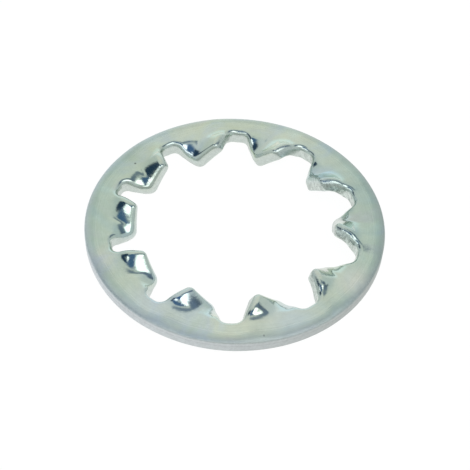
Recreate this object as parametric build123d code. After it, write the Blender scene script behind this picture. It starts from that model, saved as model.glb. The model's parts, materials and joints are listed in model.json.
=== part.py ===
from build123d import *

import os
from math import atan, cos, radians, sin, sqrt, tan

# Toothed lock washer with internal teeth, in millimetres.
#
# One blank of spring steel sheet: a flat ring whose inner rim is cut into teeth by round-bottomed
# gaps. Each tooth is then twisted about its own radial middle line, so that its clockwise corner,
# seen from above, stands over the ring and its other corner hangs below it.
# The bolt's axis is Z. The washer lies on its lowest tooth corners, in the plane Z = 0.

# ---- driving dimensions ----
outside_diameter = 20.3
hole_diameter = 13.4        # circle that the tooth tips reach
sheet_thickness = 1.0
tooth_count = 10
land_width = 1.7            # solid band between the outside and the bottoms of the gaps
gap_end_radius = 0.72       # full round at the bottom of a gap
gap_flare = 13.0            # degrees that a gap's side leans away from the gap's middle line
bend_inset = 0.08           # from the outermost points of a tooth's gaps in to its bend line
twist_angle = 44.0          # degrees that a tooth has turned at its tip
tip_corner_radius = 0.35    # corners of a tooth's tip, seen square to the sheet
edge_radius = 0.20          # tumbled edges round the gaps and the teeth
rim_edge_radius = 0.30      # tumbled edges round the outside

# ---- how the twist is built ----
twist_stations = 5          # sections that a tooth is lofted through
tip_overrun = 0.5           # length that the loft runs past the tip before the hole trims it
steepest_broad_side = 0.65  # a broad side's normal has at least this much of Z, a cut side's less

# ---- sizes that follow ----
outside_radius = outside_diameter / 2
hole_radius = hole_diameter / 2
gap_root_radius = outside_radius - land_width
half_pitch = 180 / tooth_count
flank_angle = half_pitch + gap_flare  # between a tooth's side and its own middle line

# middle of a gap's round end, seen from the tooth whose middle line is the X axis
gap_end_x = (gap_root_radius - gap_end_radius) * cos(radians(half_pitch))
gap_end_y = (gap_root_radius - gap_end_radius) * sin(radians(half_pitch))
bend_radius = gap_end_x + gap_end_radius - bend_inset

# point where the round end runs into the tooth's straight side
flank_x = gap_end_x + gap_end_radius * sin(radians(flank_angle))
flank_y = gap_end_y - gap_end_radius * cos(radians(flank_angle))


def tooth_half_width(x):
    """Half the width of the tooth on the X axis, at the distance x from the bolt's axis."""
    if x > flank_x:
        return gap_end_y - sqrt(gap_end_radius**2 - (x - gap_end_x) ** 2)
    return flank_y - (flank_x - x) * tan(radians(flank_angle))


def tooth_turn(x):
    """Angle in radians that the tooth has turned at x. Its sides rise along straight lines."""
    share = (bend_radius - x) / (bend_radius - hole_radius)
    return atan(share * tan(radians(twist_angle)))


def tooth_section(x):
    """Section of the sheet across the tooth at x, turned about the tooth's middle line."""
    turn = tooth_turn(x)
    plane = Plane(origin=(x, 0, 0), x_dir=(0, cos(turn), -sin(turn)), z_dir=(-1, 0, 0))
    return plane * Rectangle(2 * tooth_half_width(x), sheet_thickness)


def broad_sides(shape):
    """The faces that were the sheet's own surface before it was cut."""
    return shape.faces().filter_by(lambda face: abs(face.normal_at().Z) > steepest_broad_side)


def make_ring():
    """Flat ring, cut to the bend lines of the teeth and to the round ends of the gaps."""
    gap_ends = PolarLocations(gap_root_radius - gap_end_radius, tooth_count, start_angle=half_pitch)
    bend_lines = RegularPolygon(bend_radius, tooth_count, major_radius=False, rotation=half_pitch)
    outline = Circle(outside_radius) - bend_lines - gap_ends * Circle(gap_end_radius)
    return extrude(outline, sheet_thickness / 2, both=True)


def make_tooth():
    """One twisted tooth, from its bend line to the hole's circle, with rounded tip corners."""
    length = bend_radius - hole_radius + tip_overrun
    stations = [bend_radius - length * i / (twist_stations - 1) for i in range(twist_stations)]
    strip = loft([tooth_section(x).face() for x in stations])
    hole = Rot(0, 0, half_pitch) * Cylinder(hole_radius, outside_diameter)
    tooth = strip - hole
    tip = tooth.faces().filter_by(GeomType.CYLINDER)
    tip_corners = set(tip.edges()) - set(broad_sides(tooth).edges())
    return fillet(tip_corners, tip_corner_radius)


def make_washer():
    """Ring and teeth in one solid, with its cut edges rounded, standing on its lowest corners."""
    tooth = make_tooth()
    turns = [360 / tooth_count * i for i in range(tooth_count)]
    blank = make_ring() + [Rot(0, 0, turn) * tooth for turn in turns]

    sheet_faces = broad_sides(blank)
    cut_faces = ShapeList(set(blank.faces()) - set(sheet_faces))
    cut_edges = ShapeList(set(sheet_faces.edges()) & set(cut_faces.edges()))
    *inner_edges, _, _ = cut_edges.sort_by(SortBy.LENGTH)
    washer = fillet(inner_edges, edge_radius)

    *_, one_rim, other_rim = washer.edges().sort_by(SortBy.LENGTH)
    washer = fillet([one_rim, other_rim], rim_edge_radius)
    return Pos(0, 0, -washer.bounding_box().min.Z) * washer


washer = make_washer()
size = washer.bounding_box().size
print("washer:", washer.is_valid, round(washer.volume, 3), "mm3", size)
os.makedirs("parts", exist_ok=True)
export_step(washer, "parts/lock_washer.step")
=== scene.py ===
import json
import logging
import math
from dataclasses import dataclass
from enum import Enum
from typing import Any

import bpy
from mathutils import Euler, Matrix, Vector


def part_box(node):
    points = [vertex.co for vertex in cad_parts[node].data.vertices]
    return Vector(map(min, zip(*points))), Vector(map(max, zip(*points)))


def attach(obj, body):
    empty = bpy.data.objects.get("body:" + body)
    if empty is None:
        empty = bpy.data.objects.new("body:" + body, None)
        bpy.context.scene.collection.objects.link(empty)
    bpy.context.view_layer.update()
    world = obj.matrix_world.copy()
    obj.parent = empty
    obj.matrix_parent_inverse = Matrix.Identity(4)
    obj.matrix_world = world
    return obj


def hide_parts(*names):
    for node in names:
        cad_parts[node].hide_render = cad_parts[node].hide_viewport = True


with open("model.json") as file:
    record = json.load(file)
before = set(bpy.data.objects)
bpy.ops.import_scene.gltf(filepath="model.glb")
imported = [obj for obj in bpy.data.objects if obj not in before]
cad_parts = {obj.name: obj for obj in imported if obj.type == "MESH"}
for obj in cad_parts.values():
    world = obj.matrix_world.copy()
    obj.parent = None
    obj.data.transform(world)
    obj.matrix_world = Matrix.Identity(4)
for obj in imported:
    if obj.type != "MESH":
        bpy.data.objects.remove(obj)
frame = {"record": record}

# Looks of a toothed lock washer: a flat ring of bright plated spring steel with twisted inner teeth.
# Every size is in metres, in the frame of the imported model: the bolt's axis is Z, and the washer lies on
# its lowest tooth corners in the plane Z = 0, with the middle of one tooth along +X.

MM = 0.001
NODE = "lock_washer"
BODY = "root"
RADIUS_DIGITS = 5  # the outside radius is read from the frame's box to 0.01 mm

Colour = tuple[float, float, float]
Span = tuple[Any, Any]
Socket = bpy.types.NodeSocket

log = logging.getLogger("lock_washer")


class Ease(Enum):
    """How one range of values is turned into another, by the name that a Map Range node has for it."""

    STRAIGHT = "LINEAR"
    SOFT = "SMOOTHSTEP"


class Pattern(Enum):
    """What a grain follows, as a Noise node's dimensions and the input that takes the place."""

    SPOTS = ("3D", "Vector")
    LINES = ("1D", "W")


class Side(Enum):
    """Side of a tooth's middle line, by the sign of Y in the tooth's own frame."""

    RAISED = -1
    LOWERED = 1


class Layer(Enum):
    """Attribute of the washer's mesh that its finish reads."""

    CUT = "cut"
    RIM = "rim"


class Graph:
    """Adds nodes to a shader or geometry tree and links them as they are added."""

    def __init__(self, tree: bpy.types.NodeTree) -> None:
        """Empty the tree and keep it.

        Args:
            tree: The node tree to fill.
        """
        self.tree = tree
        tree.nodes.clear()

    @staticmethod
    def pick(sockets: Any, key: str | int) -> Socket:
        """Find a socket.

        Args:
            sockets: A node's inputs or outputs.
            key: The socket's identifier, or its name or place where no identifier is like that.

        Returns:
            The socket.
        """
        matches = [socket for socket in sockets if socket.identifier == key]
        return matches[0] if matches else sockets[key]

    def feed(self, socket: Socket, value: Any) -> None:
        """Link an input to another node's output, or give it a plain value.

        Args:
            socket: The input.
            value: The output's socket or the plain value, which for a colour has no alpha.
        """
        if isinstance(value, Socket):
            self.tree.links.new(value, socket)
        elif socket.type == "RGBA":
            socket.default_value = (*value, 1)
        else:
            socket.default_value = value

    def add(self, kind: str, inputs: dict[str | int, Any] | None = None,
            **settings: Any) -> bpy.types.Node:
        """Add one node.

        Args:
            kind: The node's type name.
            inputs: Values or sockets for its inputs, by identifier, name or place.
            **settings: Values for the node's own properties.

        Returns:
            The new node.
        """
        node = self.tree.nodes.new(kind)
        for name, value in settings.items():
            setattr(node, name, value)
        for key, value in (inputs or {}).items():
            self.feed(self.pick(node.inputs, key), value)
        return node

    def math(self, operation: str, *values: Any, clamp: bool = False) -> Socket:
        """Add a Math node.

        Args:
            operation: The node's operation.
            *values: Its operands, numbers or sockets.
            clamp: True to keep the result between 0 and 1.

        Returns:
            The result's socket.
        """
        node = self.add("ShaderNodeMath", dict(enumerate(values)), operation=operation, use_clamp=clamp)
        return node.outputs[0]

    def multiply(self, first: Any, second: Any) -> Socket:
        """Multiply two vectors or colours, part by part.

        Args:
            first: One vector's socket or value.
            second: The other's.

        Returns:
            The product's socket.
        """
        node = self.add("ShaderNodeVectorMath", {0: first, 1: second}, operation="MULTIPLY")
        return node.outputs["Vector"]

    def scale(self, vector: Any, factor: Any) -> Socket:
        """Scale a vector or colour.

        Args:
            vector: Its socket.
            factor: The factor's socket or value.

        Returns:
            The product's socket.
        """
        node = self.add("ShaderNodeVectorMath", {0: vector, "Scale": factor}, operation="SCALE")
        return node.outputs["Vector"]

    def distance(self, place: Socket, centre: Any = (0, 0, 0)) -> Socket:
        """Measure how far a point is from another.

        Args:
            place: The point's socket.
            centre: The other point.

        Returns:
            The distance's socket.
        """
        node = self.add("ShaderNodeVectorMath", {0: place, 1: centre}, operation="DISTANCE")
        return node.outputs["Value"]

    def split(self, place: Socket) -> Any:
        """Split a point into its coordinates, which the result gives as X, Y and Z."""
        return self.add("ShaderNodeSeparateXYZ", {0: place}).outputs

    def join(self, x: Any = 0.0, y: Any = 0.0, z: Any = 0.0) -> Socket:
        """Join coordinates, numbers or sockets, into a point."""
        return self.add("ShaderNodeCombineXYZ", {"X": x, "Y": y, "Z": z}).outputs[0]

    def turn(self, place: Socket, axis: str, angle: Any) -> Socket:
        """Turn a point about an axis through the origin.

        Args:
            place: The point's socket.
            axis: X or Z.
            angle: The angle's socket or value.

        Returns:
            The turned point's socket.
        """
        node = self.add("ShaderNodeVectorRotate", {"Vector": place, "Angle": angle},
                        rotation_type=f"{axis}_AXIS")
        return node.outputs[0]

    def remap(self, value: Any, source: Span = (0.0, 1.0), target: Span = (0.0, 1.0),
              ease: Ease = Ease.STRAIGHT) -> Socket:
        """Turn one range of values into another, and hold what lies outside at its ends.

        Args:
            value: The value's socket.
            source: The range's two ends, numbers or sockets.
            target: What they become.
            ease: How the values between go from one to the other.

        Returns:
            The result's socket.
        """
        ends = dict(zip(("From Min", "From Max", "To Min", "To Max"), (*source, *target)))
        node = self.add("ShaderNodeMapRange", {"Value": value, **ends}, interpolation_type=ease.value)
        return node.outputs["Result"]

    def mix(self, share: Any, first: Any, second: Any) -> Socket:
        """Blend two colours.

        Args:
            share: Share of the second colour.
            first: The first colour's socket or value.
            second: The second colour's.

        Returns:
            The blended colour's socket.
        """
        node = self.add("ShaderNodeMix", {"Factor_Float": share, "A_Color": first, "B_Color": second},
                        data_type="RGBA")
        return self.pick(node.outputs, "Result_Color")


@dataclass(frozen=True)
class EdgeRoll:
    """Rounded edge between a broad side and a cut side, a quarter of an ellipse.

    Attributes:
        reach: Width of the rounding over the broad side.
        drop: Height of the rounding down the cut side.
        steps: Faces across the rounding.
    """

    reach: float
    drop: float
    steps: int

    def points(self) -> list[tuple[float, float]]:
        """Follow the rounding from the broad side to the cut side.

        Returns:
            Pairs of distance in from the cut side and depth under the broad side.
        """
        turns = [math.pi / 2 * share for share in self.shares()]
        return [(self.reach * (1 - math.sin(t)), self.drop * (1 - math.cos(t))) for t in turns]

    def shares(self) -> list[float]:
        """Say how far over the rounding its points lie, from 0 on the broad side to 1 on the cut side."""
        return [i / self.steps for i in range(self.steps + 1)]


@dataclass(frozen=True)
class OutlinePoint:
    """A point of the outline of the flat blank.

    Attributes:
        place: Its place in plan.
        inward: The direction in plan that points into the metal.
        lower_roll: Share of the lower edge's full rounding that the point has.
    """

    place: Vector
    inward: Vector
    lower_roll: float = 1.0

    def on_side(self, side: Side) -> "OutlinePoint":
        """Move the point to a side of the tooth's middle line.

        Args:
            side: The side that it goes to, from the lowered side.

        Returns:
            The moved point.
        """
        flip = Vector((1, side.value))
        return OutlinePoint(self.place * flip, self.inward * flip, self.lower_roll)

    def inside(self, inset: float, height: float) -> Vector:
        """Find the corner of the section that lies inside the point.

        Args:
            inset: Distance from the point into the metal.
            height: Height over the sheet's middle plane.

        Returns:
            The corner.
        """
        return (self.place + self.inward * inset).to_3d() + Vector((0, 0, height))


@dataclass(frozen=True)
class ToothOutline:
    """Plan of one tooth of the flat blank, from the middle of one gap to the middle of the next.

    Attributes:
        outside_radius: Radius of the washer.
        hole_radius: Radius of the circle that the tooth tips reach.
        half_pitch: Half the angle from one tooth to the next.
        twist: Angle that a tooth is turned by at its tip, which its tip's curve allows for.
        land_width: Solid band between the outside and the bottoms of the gaps.
        gap_end_radius: Corners at the bottom of a gap.
        gap_end_flat: Half the stretch between the two corners' middles.
        gap_flare: Angle that a gap's side leans away from the gap's middle line.
        raised_corner: Corner of the tip on the side that is bent up.
        lowered_corner: Corner of the tip on the side that is bent down.
        gap_roll: Share of the lower edge's rounding that is left round the end of a gap.
        roll_start: Share of the way along a tooth's side, from the tip, at which the lower edge's rounding
            begins to get smaller.
        tip_steps: Faces along half the tip.
        corner_steps: Faces round a corner of the tip.
        side_steps: Faces along a tooth's side.
        gap_steps: Faces round a corner of the gap.
        flat_steps: Faces along half the gap's bottom.
    """

    outside_radius: float
    hole_radius: float
    half_pitch: float
    twist: float
    land_width: float = 1.67 * MM
    gap_end_radius: float = 0.50 * MM
    gap_end_flat: float = 0.23 * MM
    gap_flare: float = math.radians(13.2)
    raised_corner: float = 0.44 * MM
    lowered_corner: float = 0.60 * MM
    gap_roll: float = 0.3
    roll_start: float = 0.5
    tip_steps: int = 8
    corner_steps: int = 7
    side_steps: int = 10
    gap_steps: int = 11
    flat_steps: int = 2

    @property
    def side_angle(self) -> float:
        """Angle between a tooth's side and its own middle line."""
        return self.half_pitch + self.gap_flare

    @property
    def gap_corner_radius(self) -> float:
        """Distance from the bolt's axis to the middle of a gap's corner."""
        return self.outside_radius - self.land_width - self.gap_end_radius

    @property
    def gap_corner_angle(self) -> float:
        """Angle about the bolt's axis from the tooth's middle line to the middle of a gap's corner."""
        return self.half_pitch - math.asin(self.gap_end_flat / self.gap_corner_radius)

    @property
    def gap_corner(self) -> Vector:
        """Middle of the gap's corner."""
        way = Vector((math.cos(self.gap_corner_angle), math.sin(self.gap_corner_angle)))
        return way * self.gap_corner_radius

    @property
    def side_inward(self) -> Vector:
        """Direction from the tooth's side into the tooth."""
        return Vector((math.sin(self.side_angle), -math.cos(self.side_angle)))

    @property
    def tip_radius(self) -> float:
        """Radius of the tip's curve in the flat blank, which the twist brings onto the hole's circle."""
        return self.hole_radius / math.cos(self.twist) ** 2

    @property
    def tip_centre(self) -> Vector:
        """Middle of the tip's curve."""
        return Vector((self.hole_radius - self.tip_radius, 0))

    def tip_corner(self, radius: float) -> Vector:
        """Find the middle of a tip corner's rounding, which touches the tip's curve and the side.

        Args:
            radius: Radius of the rounding.

        Returns:
            The middle.
        """
        along = Vector((math.cos(self.side_angle), math.sin(self.side_angle)))
        foot = self.gap_corner + self.side_inward * (self.gap_end_radius + radius)
        from_centre = foot - self.tip_centre
        middle = from_centre.dot(along)
        square = from_centre.length_squared - (self.tip_radius + radius) ** 2
        return foot - along * (middle - math.sqrt(middle**2 - square))

    @staticmethod
    def arc(centre: Vector, radius: float, start: float, end: float, steps: int,
            outward: bool = True, roll: float = 1.0) -> list[OutlinePoint]:
        """Follow a round stretch of the outline.

        Args:
            centre: Middle of the round.
            radius: Its radius.
            start: Angle of the first point.
            end: Angle of the last point.
            steps: Stretches between the two.
            outward: True where the metal lies outside the round.
            roll: Share of the lower edge's full rounding.

        Returns:
            The points in order.
        """
        side = 1 if outward else -1
        points = []
        for i in range(steps + 1):
            angle = start + (end - start) * i / steps
            away = Vector((math.cos(angle), math.sin(angle)))
            points.append(OutlinePoint(centre + away * radius, away * side, roll))
        return points

    def half(self, side: Side) -> list[OutlinePoint]:
        """Follow the outline from the middle of the tip to the middle of the gap.

        Args:
            side: Side of the tooth, which settles the tip's corner.

        Returns:
            The points in order, evenly spread on each stretch, all drawn on the lowered side.
        """
        corner_radius = self.raised_corner if side is Side.RAISED else self.lowered_corner
        corner = self.tip_corner(corner_radius)
        to_corner = corner - self.tip_centre
        tip_end = math.atan2(to_corner.y, to_corner.x)
        side_turn = math.atan2(-self.side_inward.y, -self.side_inward.x)
        tip = self.arc(self.tip_centre, self.tip_radius, 0, tip_end, self.tip_steps)
        bend = self.arc(corner, corner_radius, tip_end + math.pi, side_turn, self.corner_steps,
                        outward=False)
        gap_end = self.arc(self.gap_corner, self.gap_end_radius, side_turn - math.pi,
                           self.gap_corner_angle, self.gap_steps, roll=self.gap_roll)
        bottom = self.arc(Vector((0, 0)), self.outside_radius - self.land_width,
                          self.gap_corner_angle, self.half_pitch, self.flat_steps, roll=self.gap_roll)
        straight = []
        for i in range(1, self.side_steps):
            share = i / self.side_steps
            place = bend[-1].place.lerp(gap_end[0].place, share)
            near_gap = max(0.0, (share - self.roll_start) / (1 - self.roll_start))
            roll = 1 - (1 - self.gap_roll) * near_gap**2 * (3 - 2 * near_gap)
            straight.append(OutlinePoint(place, self.side_inward, roll))
        return tip + bend[1:] + straight + gap_end + bottom[1:]

    def rim_angles(self, half: list[OutlinePoint]) -> list[float]:
        """Spread the outline's points over half a pitch of the outside.

        Args:
            half: Half of the outline.

        Returns:
            An angle about the bolt's axis for each point.
        """
        lengths = [0.0]
        for before, after in zip(half, half[1:]):
            lengths.append(lengths[-1] + (after.place - before.place).length)
        return [self.half_pitch * length / lengths[-1] for length in lengths]


@dataclass(frozen=True)
class FlatPitch:
    """One pitch of the flat blank, as a tube of quads that is closed round the sheet's section.

    Attributes:
        outline: Plan of half the pitch.
        thickness: Thickness of the sheet.
        inner_upper: Rounding of the upper edge round the teeth and gaps.
        inner_lower: Rounding of the lower edge round the teeth and gaps.
        rim_upper: Rounding of the upper edge of the outside.
        rim_lower: Rounding of the lower edge of the outside.
        broad_steps: Faces across a broad side, without the narrow one beside each rounding.
        narrow: Share of a broad side that each of those narrow faces takes.
        crowding: How much the faces crowd towards the teeth; 1 is evenly spread.
        rim_band: Share of a broad side's faces, from the outside inwards, over which it takes on the edge's
            finish.
    """

    outline: ToothOutline
    thickness: float
    inner_upper: EdgeRoll = EdgeRoll(0.38 * MM, 0.42 * MM, 7)
    inner_lower: EdgeRoll = EdgeRoll(0.30 * MM, 0.22 * MM, 5)
    rim_upper: EdgeRoll = EdgeRoll(0.50 * MM, 0.20 * MM, 8)
    rim_lower: EdgeRoll = EdgeRoll(0.16 * MM, 0.16 * MM, 4)
    broad_steps: int = 26
    narrow: float = 0.012
    crowding: float = 1.25
    rim_band: float = 0.15

    def broad_shares(self) -> list[float]:
        """Spread the corners between two faces over a broad side.

        Returns:
            Shares of the way from the inner rounding to the outer one, without the two ends.
        """
        even = [i / self.broad_steps for i in range(self.broad_steps + 1)]
        return [self.narrow + (1 - 2 * self.narrow) * share**self.crowding for share in even]

    def section(self, point: OutlinePoint, angle: float) -> list[Vector]:
        """Follow the sheet's section from one point of the inner outline to the outside and back.

        Args:
            point: Where the section meets the inner outline.
            angle: Where it meets the outside, as an angle about the bolt's axis.

        Returns:
            The section's corners in order, as a closed loop.
        """
        half = self.thickness / 2
        out = Vector((math.cos(angle), math.sin(angle)))
        rim = OutlinePoint(out * self.outline.outside_radius, -out)
        roll = point.lower_roll
        top_in = [point.inside(inset, half - depth) for inset, depth in reversed(self.inner_upper.points())]
        top_out = [rim.inside(inset, half - depth) for inset, depth in self.rim_upper.points()]
        low_out = [rim.inside(inset, depth - half) for inset, depth in reversed(self.rim_lower.points())]
        low_in = [point.inside(inset * roll, depth * roll - half)
                  for inset, depth in self.inner_lower.points()]
        shares = self.broad_shares()
        top = [top_in[-1].lerp(top_out[0], share) for share in shares]
        low = [low_out[-1].lerp(low_in[0], 1 - share) for share in reversed(shares)]
        return top_in + top + top_out + low_out + low + low_in

    def zones(self) -> list[list[float]]:
        """Say for each zone of the section how far each of its points lies over its rounding.

        Returns:
            For the zones in the section's order, numbers from 0 on a broad side to 1 on a cut side.
        """
        flat = [0.0] * len(self.broad_shares())
        return [self.inner_upper.shares()[::-1], flat, self.rim_upper.shares(),
                self.rim_lower.shares()[::-1], flat, self.inner_lower.shares()]

    def cut_shares(self) -> list[float]:
        """Say how much each point of the section belongs to a cut side."""
        return [share for zone in self.zones() for share in zone]

    def rim_shares(self) -> list[float]:
        """Say how much each point of the section belongs to the outside edge.

        Returns:
            Numbers from 0 away from the edge to 1 on it, in the section's order.
        """
        inner_upper, top, rim_upper, rim_lower, _, inner_lower = self.zones()
        near = [max(0.0, (i + 1) / len(top) - 1 + self.rim_band) / self.rim_band for i in range(len(top))]
        rim = [1.0] * (len(rim_upper) + len(rim_lower))
        return [0.0] * len(inner_upper) + near + rim + near[::-1] + [0.0] * len(inner_lower)

    def rows(self, side: Side) -> list[list[Vector]]:
        """Follow the sections from the middle of the tooth to the middle of the gap.

        Args:
            side: Side of the tooth.

        Returns:
            The sections' corners, one list for each section.
        """
        points = self.outline.half(side)
        angles = self.outline.rim_angles(points)
        return [self.section(point.on_side(side), angle * side.value) for point, angle in zip(points, angles)]

    def mesh(self) -> bpy.types.Mesh:
        """Build the pitch's mesh, open where the next pitches join it.

        Returns:
            The mesh, with its faces outwards.
        """
        rows = self.rows(Side.RAISED)[:0:-1] + self.rows(Side.LOWERED)
        count = len(rows[0])
        faces = []
        for row in range(len(rows) - 1):
            for i in range(count):
                after = (i + 1) % count
                faces.append((row * count + i, row * count + after,
                              (row + 1) * count + after, (row + 1) * count + i))
        mesh = bpy.data.meshes.new("flat_pitch")
        mesh.from_pydata([corner for row in rows for corner in row], [], faces)
        mesh.validate()
        for layer, shares in ((Layer.CUT, self.cut_shares()), (Layer.RIM, self.rim_shares())):
            values = mesh.attributes.new(layer.value, "FLOAT", "POINT").data
            values.foreach_set("value", shares * len(rows))
        return mesh


@dataclass(frozen=True)
class Grain:
    """Unevenness in the plating, as a noise pattern in the washer's own frame.

    Attributes:
        scale: Spots or lines over one metre.
        detail: Number of finer layers that are added.
        roughness: Share that each finer layer has of the one before.
        distortion: How much the spots are swirled.
        reach: How far from its middle value the unevenness is taken to swing.
        pattern: What it follows.
    """

    scale: float
    detail: float
    roughness: float
    distortion: float = 0.0
    reach: float = 0.2
    pattern: Pattern = Pattern.SPOTS

    def noise(self, graph: Graph, place: Socket) -> Socket:
        """Add the unevenness as it comes.

        Args:
            graph: The material's graph.
            place: The point, or for lines the distance across them.

        Returns:
            The socket of its value, about 0.5.
        """
        dimensions, entry = self.pattern.value
        return graph.add("ShaderNodeTexNoise", {
            entry: place, "Scale": self.scale, "Detail": self.detail, "Roughness": self.roughness,
            "Distortion": self.distortion,
        }, noise_dimensions=dimensions).outputs["Fac"]

    def level(self, graph: Graph, place: Socket, low: float, high: float) -> Socket:
        """Add the unevenness between two levels.

        Args:
            graph: The material's graph.
            place: The point, or for lines the distance across them.
            low: The lowest level.
            high: The highest level.

        Returns:
            The socket of the level.
        """
        return graph.remap(self.noise(graph, place), (0.5 - self.reach, 0.5 + self.reach), (low, high))


@dataclass(frozen=True)
class Mark:
    """A round mark in the plating of the broad sides, such as a pit or a stain.

    Attributes:
        angle: Its place round the ring, in degrees.
        radius: Distance of its middle from the bolt's axis.
        reach: Distance from its middle at which it has faded out.
        tint: What its middle multiplies the plating's colour by.
        core: Share of the reach over which it is evenly tinted.
        ease: How it fades.
    """

    angle: float
    radius: float
    reach: float
    tint: Colour
    core: float = 0.0
    ease: Ease = Ease.SOFT

    @classmethod
    def pit(cls, angle: float, radius: float, reach: float) -> "Mark":
        """Make a small dark pit.

        Args:
            angle: Its place round the ring, in degrees.
            radius: Distance of its middle from the bolt's axis.
            reach: Distance from its middle at which it has faded out.

        Returns:
            The mark.
        """
        return cls(angle, radius, reach, tint=(0.25, 0.25, 0.25), core=0.3, ease=Ease.STRAIGHT)

    def factor(self, graph: Graph, place: Socket, height: float) -> Socket:
        """Work out what the mark multiplies the plating's colour by.

        Args:
            graph: The material's graph.
            place: The point in the washer's own frame.
            height: Height of the mark's middle.

        Returns:
            The socket of the factor, a colour.
        """
        turn = math.radians(self.angle)
        centre = Vector((self.radius * math.cos(turn), self.radius * math.sin(turn), height))
        node = graph.add("ShaderNodeMapRange", {
            "Vector": graph.distance(place, centre),
            "From_Min_FLOAT3": (self.core * self.reach,) * 3,
            "From_Max_FLOAT3": (self.reach,) * 3,
            "To_Min_FLOAT3": self.tint,
            "To_Max_FLOAT3": (1, 1, 1),
        }, data_type="FLOAT_VECTOR", interpolation_type=self.ease.value)
        return node.outputs["Vector"]


@dataclass(frozen=True)
class ZincPlate:
    """Bright zinc with a thin clear passivation that shines faintly green, yellow, blue and pink.

    Attributes:
        top_height: Height of the upper broad side.
        tints: Reflected colours of the broad sides, from the coldest to the warmest.
        drift: How the tints follow each other over the ring.
        fine: Fine unevenness of the broad sides' brightness.
        fine_spread: How much it changes their brightness.
        painted_side_shade: Painted shade, cooler in hue, that multiplies the colour at the ring's left and
            right sides.
        shade_reach: Distance from the middle at which the painted side shade, and the outside edge's painted
            light or shade, is fully there.
        broad_roughness: Roughness of the broad sides.
        lines: Faint turning lines round the ring.
        line_spread: How much they change its brightness.
        line_inner: Distance from the bolt's axis at which they begin.
        line_outer: Distance at which they are fully there.
        cut_colour: Reflected colour of the cut sides.
        cut_roughness: Roughness of the cut sides of the teeth.
        cut_grain: Torn grain of the cut sides.
        cut_spread: How much it changes their brightness.
        rim_spread: The same for the outside edge, which is smoother.
        rim_roughness: Roughness of the outside edge.
        painted_lit_rim: Colour of the outside edge on the left, lighter there as painted light.
        painted_shaded_rim: Colour of the outside edge on the right, darker there as painted shade.
        seam_height: Height of the faint line round the outside edge, where the punch's clean cut ends.
        seam_width: Half of that line's width.
        seam_depth: How much darker the line is.
        relief: Unevenness that the light shows everywhere.
        relief_depth: Height of that unevenness at full strength.
        broad_relief: Its strength on the broad sides.
        cut_relief: Its strength on the cut sides.
        rim_relief: Its strength on the outside edge.
        torn_relief: How much stronger it is where the punch tore the metal.
        torn_spread: How much more the torn grain changes the brightness there.
        torn_from: Distance to the right of the bolt's axis at which the tearing begins.
        torn_to: Distance at which it is fully there.
        marks: Pits and stains, and one broad painted shade on the right of the ring.
    """

    top_height: float
    tints: tuple[Colour, ...] = (
        (0.61, 0.70, 0.64), (0.62, 0.70, 0.70), (0.66, 0.73, 0.64), (0.69, 0.74, 0.62), (0.70, 0.71, 0.65))
    drift: Grain = Grain(260.0, 3.0, 0.55, distortion=0.6)
    fine: Grain = Grain(1500.0, 4.0, 0.7)
    fine_spread: float = 0.05
    painted_side_shade: Colour = (0.76, 0.86, 0.88)
    shade_reach: float = 9 * MM
    broad_roughness: float = 0.11
    lines: Grain = Grain(9000.0, 1.0, 0.5, pattern=Pattern.LINES)
    line_spread: float = 0.035
    line_inner: float = 8.6 * MM
    line_outer: float = 9.4 * MM
    cut_colour: Colour = (0.58, 0.64, 0.60)
    cut_roughness: float = 0.30
    cut_grain: Grain = Grain(4200.0, 2.0, 0.8, reach=0.15)
    cut_spread: float = 0.07
    rim_spread: float = 0.06
    rim_roughness: float = 0.50
    painted_lit_rim: Colour = (0.69, 0.73, 0.75)
    painted_shaded_rim: Colour = (0.48, 0.51, 0.49)
    seam_height: float = 1.17 * MM
    seam_width: float = 0.06 * MM
    seam_depth: float = 0.13
    relief: Grain = Grain(3600.0, 2.0, 0.7)
    relief_depth: float = 0.05 * MM
    broad_relief: float = 0.12
    cut_relief: float = 0.08
    rim_relief: float = 0.02
    torn_relief: float = 0.55
    torn_spread: float = 0.22
    torn_from: float = 3.5 * MM
    torn_to: float = 6.5 * MM
    marks: tuple[Mark, ...] = (
        Mark.pit(145.5, 8.75 * MM, 0.10 * MM),
        Mark.pit(211.0, 8.45 * MM, 0.08 * MM),
        Mark.pit(282.0, 9.75 * MM, 0.10 * MM),
        Mark(90, 9.0 * MM, 4.5 * MM, (0.96, 0.96, 0.84)),
        Mark(140, 9.2 * MM, 3.5 * MM, (1.00, 0.97, 0.87)),
        Mark(205, 9.7 * MM, 2.0 * MM, (1.20, 1.05, 1.06)),
        Mark(235, 9.0 * MM, 2.6 * MM, (1.02, 1.01, 1.15)),
        Mark(295, 9.0 * MM, 2.6 * MM, (0.96, 0.98, 1.13)),
        Mark(328, 9.7 * MM, 2.2 * MM, (1.25, 1.10, 1.16)),
        # Painted shade: a broad, faintly blue darkening over the right-hand part of the ring.
        Mark(20, 9.0 * MM, 7.0 * MM, (0.93, 0.94, 0.96)),
    )

    def broad_finish(self, graph: Graph, place: Socket) -> Socket:
        """Work out the colour of the broad sides.

        Args:
            graph: The material's graph.
            place: The point in the washer's own frame.

        Returns:
            The socket of the colour.
        """
        ramp = graph.add("ShaderNodeValToRGB", {"Fac": self.drift.level(graph, place, 0.0, 1.0)})
        bands = ramp.color_ramp.elements
        for _ in self.tints[2:]:
            bands.new(0.5)
        for i, (band, tint) in enumerate(zip(bands, self.tints)):
            band.position = i / (len(self.tints) - 1)
            band.color = (*tint, 1)
        parts = graph.split(place)
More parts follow.
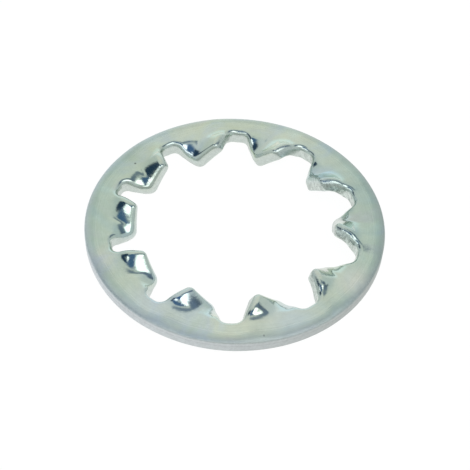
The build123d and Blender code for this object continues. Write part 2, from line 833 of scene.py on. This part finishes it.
        # Painted shade: the ring's left and right sides get darker and cooler the further they are from the
        # middle.
        beside = graph.math("DIVIDE", parts["X"], self.shade_reach)
        side_shade = graph.mix(graph.math("MULTIPLY", beside, beside, clamp=True), (1, 1, 1), self.painted_side_shade)
        tints_and_shade = graph.multiply(ramp.outputs["Color"], side_shade)
        for mark in self.marks:
            tints_and_shade = graph.multiply(tints_and_shade, mark.factor(graph, place, self.top_height))
        fine = self.fine.level(graph, place, 1 - self.fine_spread, 1 + self.fine_spread)
        return graph.scale(tints_and_shade, graph.math("MULTIPLY", fine, self.turning_lines(graph, parts)))

    def turning_lines(self, graph: Graph, parts: Any) -> Socket:
        """Work out faint lines that run round the ring near its outside.

        Args:
            graph: The material's graph.
            parts: The point's coordinates.

        Returns:
            The socket of the brightness, about 1.
        """
        radius = graph.distance(graph.join(parts["X"], parts["Y"]))
        spread = graph.remap(radius, (self.line_inner, self.line_outer), (0.0, self.line_spread))
        return graph.math("MULTIPLY_ADD", self.lines.level(graph, radius, -1.0, 1.0), spread, 1.0)

    def torn_share(self, graph: Graph, place: Socket, rim: Socket) -> Socket:
        """Work out how much the punch tore a cut side, which it did in the gaps on the right.

        Args:
            graph: The material's graph.
            place: The point in the washer's own frame.
            rim: How much the point belongs to the outside edge.

        Returns:
            The socket of the share, from 0 to 1.
        """
        beside = graph.remap(graph.split(place)["X"], (self.torn_from, self.torn_to), ease=Ease.SOFT)
        return graph.math("MULTIPLY", beside, graph.math("SUBTRACT", 1.0, rim))

    def cut_finish(self, graph: Graph, place: Socket, rim: Socket, torn: Socket) -> Socket:
        """Work out the colour of the cut sides.

        Args:
            graph: The material's graph.
            place: The point in the washer's own frame.
            rim: How much the point belongs to the outside edge.
            torn: How much the punch tore the metal there.

        Returns:
            The socket of the colour.
        """
        parts = graph.split(place)
        swing = self.cut_grain.level(graph, place, -1.0, 1.0)
        spread = graph.remap(rim, target=(self.cut_spread, self.rim_spread))
        spread = graph.math("MULTIPLY_ADD", torn, self.torn_spread, spread)
        level = graph.math("MULTIPLY_ADD", swing, spread, 1.0)
        off_seam = graph.math("ABSOLUTE", graph.math("SUBTRACT", parts["Z"], self.seam_height))
        seam = graph.remap(off_seam, (0.0, self.seam_width), (self.seam_depth, 0.0), Ease.SOFT)
        level = graph.math("SUBTRACT", level, graph.math("MULTIPLY", seam, rim))
        # Painted light and shade: the outside edge is lighter on the left and darker on the right.
        across = graph.remap(parts["X"], (-self.shade_reach, self.shade_reach))
        rim_painted_shade = graph.mix(across, self.painted_lit_rim, self.painted_shaded_rim)
        return graph.scale(graph.mix(rim, self.cut_colour, rim_painted_shade), level)

    def relief_strength(self, graph: Graph, cut: Socket, rim: Socket, torn: Socket) -> Socket:
        """Work out how strongly the light shows the metal's unevenness.

        Args:
            graph: The material's graph.
            cut: How much the point belongs to a cut side.
            rim: How much it belongs to the outside edge.
            torn: How much the punch tore the metal there.

        Returns:
            The socket of the strength.
        """
        extra = graph.remap(rim, target=(self.cut_relief - self.broad_relief,
                                         self.rim_relief - self.broad_relief))
        strength = graph.math("MULTIPLY_ADD", cut, extra, self.broad_relief)
        return graph.math("MULTIPLY_ADD", graph.math("MULTIPLY", cut, torn), self.torn_relief, strength)

    def material(self) -> bpy.types.Material:
        """Build the material.

        Returns:
            The node material.
        """
        material = bpy.data.materials.new("zinc_plate")
        material.use_nodes = True
        graph = Graph(material.node_tree)
        place = graph.add("ShaderNodeTexCoord").outputs["Object"]
        cut = graph.add("ShaderNodeAttribute", attribute_name=Layer.CUT.value).outputs["Fac"]
        rim = graph.add("ShaderNodeAttribute", attribute_name=Layer.RIM.value).outputs["Fac"]
        torn = self.torn_share(graph, place, rim)
        colour = graph.mix(cut, self.broad_finish(graph, place), self.cut_finish(graph, place, rim, torn))
        rough = graph.remap(cut, target=(self.broad_roughness, self.cut_roughness))
        rough = graph.remap(rim, target=(rough, self.rim_roughness))
        uneven = graph.add("ShaderNodeBump", {
            "Strength": self.relief_strength(graph, cut, rim, torn),
            "Distance": self.relief_depth,
            "Height": self.relief.noise(graph, place),
        })
        shader = graph.add("ShaderNodeBsdfPrincipled", {
            "Base Color": colour,
            "Metallic": 1.0,
            "Roughness": rough,
            "Normal": uneven.outputs["Normal"],
        })
        graph.add("ShaderNodeOutputMaterial", {"Surface": shader.outputs[0]})
        return material


@dataclass(frozen=True)
class ToothedRing:
    """The washer: a flat ring whose inner teeth are twisted.

    Attributes:
        outside_radius: Radius of the washer.
        hole_radius: Radius of the circle that the tooth tips reach.
        thickness: Thickness of the sheet.
        middle_height: Height of the sheet's middle plane.
        tooth_count: Number of teeth.
        bend_radius: Distance from the bolt's axis to the middle of a tooth's bend line.
        raised_bow: How strongly the bend line curves on the raised side; 1 is round the bolt's axis.
        lowered_bow: How strongly it curves on the lowered side.
        turning: Pairs that say how the twist grows: share of the way from the bend line to the tip, and
            share of the tip's slope.
        raised_fade: Angle beside the middle of a gap over which the raised side's twist fades out.
        lowered_fade: The same for the lowered side.
        lowered_delay: Share of the way to the tip by which the lowered side's twist has caught up.
        delay_width: Distance from the tooth's middle line over which that delay sets in.
        twist: Angle that a tooth has turned at its tip.
        weld: Distance at which the corners that two pitches share become one.
    """

    outside_radius: float
    hole_radius: float
    thickness: float
    middle_height: float
    tooth_count: int = 10
    bend_radius: float = 9.13 * MM
    raised_bow: float = 1.08
    lowered_bow: float = 1.1
    turning: tuple[tuple[float, float], ...] = (
        (-0.45, 0.0), (-0.22, 0.07), (0.0, 0.115), (0.25, 0.175), (0.5, 0.52), (0.75, 0.793), (1.0, 1.0))
    raised_fade: float = math.radians(10)
    lowered_fade: float = math.radians(9)
    lowered_delay: float = 1.0
    delay_width: float = 0.6 * MM
    twist: float = math.radians(42.2)
    weld: float = 0.002 * MM

    @property
    def sizes(self) -> dict[str, float]:
        """Sizes that the node tree works with.

        Returns:
            The sizes by the names of the tree's inputs.
        """
        return {
            "Bend Radius": self.bend_radius,
            "Raised Bow": self.raised_bow,
            "Lowered Bow": self.lowered_bow,
            "Raised Fade": self.raised_fade,
            "Lowered Fade": self.lowered_fade,
            "Lowered Delay": self.lowered_delay,
            "Delay Width": self.delay_width,
            "Tip Radius": self.hole_radius,
            "Twist": self.twist,
            "Weld": self.weld,
        }

    def tree(self) -> bpy.types.NodeTree:
        """Build the node tree that twists the pitch's tooth and repeats the pitch round the ring.

        Returns:
            The geometry tree, with one named input for each size.
        """
        tree = bpy.data.node_groups.new("twisted_teeth", "GeometryNodeTree")
        sockets = tree.interface
        sockets.new_socket("Pitch", in_out="INPUT", socket_type="NodeSocketGeometry")
        sockets.new_socket("Tooth Count", in_out="INPUT", socket_type="NodeSocketInt")
        for name in self.sizes:
            sockets.new_socket(name, in_out="INPUT", socket_type="NodeSocketFloat")
        sockets.new_socket("Finish", in_out="INPUT", socket_type="NodeSocketMaterial")
        sockets.new_socket("Ring", in_out="OUTPUT", socket_type="NodeSocketGeometry")
        graph = Graph(tree)
        given = graph.add("NodeGroupInput").outputs
        half_pitch = graph.math("DIVIDE", math.pi, given["Tooth Count"])

        twisted = graph.add("GeometryNodeSetPosition", {
            "Geometry": given["Pitch"], "Position": self.twisted_place(graph, given, half_pitch),
        })
        smooth = graph.add("GeometryNodeSetShadeSmooth", {"Geometry": twisted.outputs[0]})
        index = graph.add("GeometryNodeInputIndex").outputs[0]
        pitch = graph.math("MULTIPLY", half_pitch, 2.0)
        spots = graph.add("GeometryNodeMeshLine", {"Count": given["Tooth Count"], "Offset": (0, 0, 0)})
        pitches = graph.add("GeometryNodeInstanceOnPoints", {
            "Points": spots.outputs[0],
            "Instance": smooth.outputs[0],
            "Rotation": graph.join(z=graph.math("MULTIPLY", index, pitch)),
        })
        real = graph.add("GeometryNodeRealizeInstances", {"Geometry": pitches.outputs[0]})
        whole = graph.add("GeometryNodeMergeByDistance", {
            "Geometry": real.outputs[0], "Distance": given["Weld"],
        })
        dressed = graph.add("GeometryNodeSetMaterial", {
            "Geometry": whole.outputs[0], "Material": given["Finish"],
        })
        graph.add("NodeGroupOutput", {"Ring": dressed.outputs[0]})
        return tree

    def twisted_place(self, graph: Graph, given: Any, half_pitch: Socket) -> Socket:
        """Work out where a point of the flat pitch goes when its tooth is twisted.

        Args:
            graph: The tree's graph.
            given: The tree's inputs.
            half_pitch: Half the angle from one tooth to the next.

        Returns:
            The socket of the new place.
        """
        place = graph.add("GeometryNodeInputPosition").outputs[0]
        parts = graph.split(place)
        lowered = graph.math("GREATER_THAN", parts["Y"], 0.0)
        bow = graph.remap(lowered, target=(given["Raised Bow"], given["Lowered Bow"]))
        fade = graph.remap(lowered, target=(given["Raised Fade"], given["Lowered Fade"]))

        angle = graph.math("ABSOLUTE", graph.math("ARCTAN2", parts["Y"], parts["X"]))
        beside_gap = graph.math("SUBTRACT", half_pitch, angle)
        free = graph.remap(beside_gap, (0.0, fade), ease=Ease.SOFT)

        reach = graph.distance(graph.join(parts["X"], graph.math("MULTIPLY", parts["Y"], bow)))
        past_bend = graph.math("SUBTRACT", given["Bend Radius"], reach)
        length = graph.math("SUBTRACT", given["Bend Radius"], given["Tip Radius"])
        share = graph.math("DIVIDE", past_bend, length)

        beside_middle = graph.remap(parts["Y"], (0.0, given["Delay Width"]), ease=Ease.SOFT)
        held_back = graph.remap(share, (0.0, given["Lowered Delay"]), (1.0, 0.0), Ease.SOFT)
        on_time = graph.math("SUBTRACT", 1.0, graph.math("MULTIPLY", beside_middle, held_back))

        eased = graph.math("MULTIPLY", self.turning_curve(graph, share), free)
        eased = graph.math("MULTIPLY", eased, on_time)
        slope = graph.math("MULTIPLY", graph.math("TANGENT", given["Twist"]), eased)
        return graph.turn(place, "X", graph.math("MULTIPLY", graph.math("ARCTANGENT", slope), -1.0))

    def turning_curve(self, graph: Graph, share: Socket) -> Socket:
        """Turn the share of the way to the tip into the share of the tip's slope.

        Args:
            graph: The tree's graph.
            share: Share of the way from the bend line to the tip.

        Returns:
            The socket of the share of the tip's slope.
        """
        first, last = self.turning[0][0], self.turning[-1][0]
        node = graph.add("ShaderNodeFloatCurve", {"Value": graph.remap(share, (first, last))})
        points = node.mapping.curves[0].points
        for _ in self.turning[2:]:
            points.new(0.5, 0.5)
        for point, (way, slope) in zip(points, self.turning):
            point.location = ((way - first) / (last - first), slope)
            point.handle_type = "AUTO_CLAMPED"
        node.mapping.update()
        return node.outputs[0]

    def build(self, finish: bpy.types.Material) -> bpy.types.Object:
        """Build the washer as one plain mesh.

        Args:
            finish: The washer's material.

        Returns:
            The finished object, at the origin.
        """
        half_pitch = math.pi / self.tooth_count
        outline = ToothOutline(self.outside_radius, self.hole_radius, half_pitch, self.twist)
        blank = bpy.data.objects.new("washer_pitch", FlatPitch(outline, self.thickness).mesh())
        bpy.context.collection.objects.link(blank)
        maker = blank.modifiers.new("teeth", "NODES")
        maker.node_group = self.tree()
        values = {**self.sizes, "Tooth Count": self.tooth_count, "Finish": finish}
        for socket in maker.node_group.interface.items_tree:
            if socket.name in values:
                maker[socket.identifier] = values[socket.name]
        shaped = blank.evaluated_get(bpy.context.evaluated_depsgraph_get())
        mesh = bpy.data.meshes.new_from_object(shaped)
        blank.modifiers.remove(maker)
        bpy.data.objects.remove(blank)
        mesh.transform(Matrix.Translation((0, 0, self.middle_height)))
        mesh.materials.clear()  # the tree also leaves an empty slot
        mesh.materials.append(finish)
        mesh.name = "toothed_ring"
        ring = bpy.data.objects.new("toothed_ring", mesh)
        bpy.context.collection.objects.link(ring)
        return ring


@dataclass(frozen=True)
class SkyPatch:
    """A soft oval in the surroundings, on a map of the sky whose middle is straight up.

    The map gives the angle from straight up in every direction, with +X to the right and +Y upwards.

    Attributes:
        place: Place of its middle on the map, in degrees.
        reach: Half of its width and half of its height, in degrees.
        turn: Angle that the oval is turned by, in degrees.
        softness: Share of the oval over which it fades out.
        colour: Its light.
    """

    place: tuple[float, float]
    reach: tuple[float, float]
    turn: float
    softness: float
    colour: Colour

    def over(self, graph: Graph, chart: Socket, under: Any) -> Socket:
        """Lay the oval over what is on the map already.

        Args:
            graph: The world's graph.
            chart: The direction's place on the map.
            under: The light that is there already.

        Returns:
            The socket of the light.
        """
        within = graph.add("ShaderNodeMapping", {
            "Vector": chart,
            "Location": (*self.place, 0),
            "Rotation": (0, 0, math.radians(self.turn)),
            "Scale": (*self.reach, 1),
        }, vector_type="TEXTURE").outputs[0]
        edge = (1 + self.softness, 1 - self.softness)
        return graph.mix(graph.remap(graph.distance(within), edge, ease=Ease.SOFT), under, self.colour)


@dataclass(frozen=True)
class Sky:
    """Surroundings of the washer: a pale backdrop that curves overhead, a dark room and lamps in front.

    Attributes:
        backdrop: Light of the pale backdrop.
        patches: What lies over it, in order: the horizon in front, the backdrop's brighter parts, the dark
            parts of the room, and the three lamps.
    """

    backdrop: Colour = (0.62, 0.68, 0.70)
    patches: tuple[SkyPatch, ...] = (
        SkyPatch((0, -88), (90, 38), 0, 0.4, (0.46, 0.50, 0.49)),
        SkyPatch((-4, 65), (38, 54), 0, 0.5, (0.80, 0.82, 0.80)),
        SkyPatch((0, 92), (60, 26), 0, 0.5, (0.88, 1.00, 1.04)),
        SkyPatch((-43, 0), (12, 26), 45, 0.40, (0.02, 0.05, 0.10)),
        SkyPatch((49, 15), (9, 14), -24, 0.4, (0.10, 0.14, 0.20)),
        SkyPatch((37, 13), (14, 12), 30, 0.5, (0.16, 0.22, 0.31)),
        SkyPatch((13, 12), (16, 10), 10, 0.5, (0.22, 0.28, 0.36)),
        SkyPatch((-6, -17), (26, 13), -8, 0.45, (0.07, 0.15, 0.30)),
        SkyPatch((-25, -25), (14, 6), -43, 0.4, (1.9, 2.0, 2.1)),
        SkyPatch((-6, -42), (16, 5), -28, 0.4, (1.7, 1.8, 1.9)),
        SkyPatch((24.5, -18), (21, 9.5), 36, 0.4, (2.1, 2.2, 2.3)),
    )

    def world(self) -> bpy.types.World:
        """Build the surroundings.

        Returns:
            The world.
        """
        world = bpy.data.worlds.new("surroundings")
        world.use_nodes = True
        graph = Graph(world.node_tree)
        parts = graph.split(graph.add("ShaderNodeTexCoord").outputs["Generated"])
        from_up = graph.math("DEGREES", graph.math("ARCCOSINE", parts["Z"]))
        flat_way = graph.add("ShaderNodeVectorMath", {0: graph.join(parts["X"], parts["Y"])},
                             operation="NORMALIZE").outputs["Vector"]
        chart = graph.scale(flat_way, from_up)
        light = self.backdrop
        for patch in self.patches:
            light = patch.over(graph, chart, light)
        shader = graph.add("ShaderNodeBackground", {"Color": light, "Strength": 1.0})
        graph.add("ShaderNodeOutputWorld", {"Surface": shader.outputs[0]})
        return world


@dataclass(frozen=True)
class Studio:
    """Floor, light and camera.

    Attributes:
        target: The point that the camera's frame is laid out from.
        distance: Distance from the camera to the target.
        elevation: Angle of the camera above the horizon.
        azimuth: Angle of the camera about the bolt's axis.
        roll: Turn of the camera about its own axis.
        lens: Focal length in millimetres on the camera's own sensor width.
        shift: Sideways and upward shift of the frame.
        near: Distance from the camera at which it begins to see.
        floor_size: Half the width of the floor.
        floor_grey: Share of light that the floor gives back.
        floor_shade: Share that it gives back where it is looked at, which shows the washer's shadow.
        floor_glow: Light of the white floor where it is looked at straight or in the metal.
        far_glow: Painted glow of the floor far from the washer, where its painted pool of light has faded
            out.
        lit_reach: Distance from the washer over which the floor's painted pool of light is at full strength.
        fade_reach: Distance at which the painted pool of light has faded down to the far glow.
        sky: The surroundings.
    """

    target: Vector
    distance: float = 71.98 * MM
    elevation: float = math.radians(48.4)
    azimuth: float = math.radians(-0.36)
    roll: float = math.radians(2.56)
    lens: float = 81.09
    shift: tuple[float, float] = (0.0, -0.02265)
    near: float = 5 * MM
    floor_size: float = 2.0
    floor_grey: float = 0.8
    floor_shade: float = 0.10
    floor_glow: float = 0.95
    far_glow: float = 0.35
    lit_reach: float = 40 * MM
    fade_reach: float = 200 * MM
    sky: Sky = Sky()

    def camera(self) -> bpy.types.Object:
        """Add the camera.

        Returns:
            The camera's object.
        """
        data = bpy.data.cameras.new("camera")
        data.lens = self.lens
        data.shift_x, data.shift_y = self.shift
        data.clip_start = self.near
        camera = bpy.data.objects.new("camera", data)
        facing = Euler((math.pi / 2 - self.elevation, 0, self.azimuth)).to_matrix()
        camera.location = self.target + facing @ Vector((0, 0, self.distance))
        camera.rotation_euler = (facing @ Matrix.Rotation(self.roll, 3, "Z")).to_euler()
        bpy.context.collection.objects.link(camera)
        bpy.context.scene.camera = camera
        return camera

    def floor_material(self) -> bpy.types.Material:
        """Build the floor's material, which stays white where it is looked at and keeps the shadow.

        Returns:
            The node material.
        """
        material = bpy.data.materials.new("white_floor")
        material.use_nodes = True
        graph = Graph(material.node_tree)
        path = graph.add("ShaderNodeLightPath").outputs
        seen = graph.math("ADD", path["Is Camera Ray"], path["Is Glossy Ray"])
        seen = graph.math("ADD", seen, path["Is Transmission Ray"], clamp=True)
        grey = graph.remap(seen, target=(self.floor_grey, self.floor_shade))
        matt = graph.add("ShaderNodeBsdfDiffuse", {"Color": grey}).outputs[0]
        away = graph.distance(graph.add("ShaderNodeTexCoord").outputs["Object"])
        # Painted pool of light: the floor's glow is full near the washer and fades further out.
        light = graph.remap(away, (self.lit_reach, self.fade_reach), (self.floor_glow, self.far_glow))
        glow = graph.add("ShaderNodeEmission", {"Strength": graph.math("MULTIPLY", seen, light)}).outputs[0]
        both = graph.add("ShaderNodeAddShader", {0: matt, 1: glow}).outputs[0]
        graph.add("ShaderNodeOutputMaterial", {"Surface": both})
        return material

    def floor(self) -> bpy.types.Object:
        """Add the floor.

        Returns:
            The floor's object.
        """
        half = self.floor_size
        mesh = bpy.data.meshes.new("floor")
        mesh.from_pydata([(-half, -half, 0), (half, -half, 0), (half, half, 0), (-half, half, 0)],
                         [], [(0, 1, 2, 3)])
        mesh.materials.append(self.floor_material())
        floor = bpy.data.objects.new("floor", mesh)
        bpy.context.collection.objects.link(floor)
        return floor

    def light(self) -> None:
        """Light the scene by its surroundings."""
        bpy.context.scene.world = self.sky.world()


def main() -> None:
    """Build the washer and the studio round it."""
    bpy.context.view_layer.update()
    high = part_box(NODE)[1]
    mounts = {mount["name"]: mount for mount in frame["record"]["mounts"]}
    upper = mounts["upper_face"]["pos_m"][2]
    lower = mounts["lower_face"]["pos_m"][2]
    middle = (upper + lower) / 2

    ring = ToothedRing(
        outside_radius=round(high.x, RADIUS_DIGITS),
        hole_radius=mounts["bolt_hole"]["dims"]["r_mm"] * MM,
        thickness=upper - lower,
        middle_height=middle,
    )
    washer = ring.build(ZincPlate(upper).material())
    log.info("%s: %d faces", washer.name, len(washer.data.polygons))
    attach(washer, BODY)
    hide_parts(NODE)

    studio = Studio(target=Vector((0, 0, middle)))
    studio.camera()
    studio.light()
    floor = studio.floor()
    log.info("%s: %.1f m wide", floor.name, floor.dimensions.x)
    bpy.context.scene.view_settings.view_transform = "Standard"


if __name__ == "__main__":
    logging.basicConfig(level=logging.INFO)
    main()
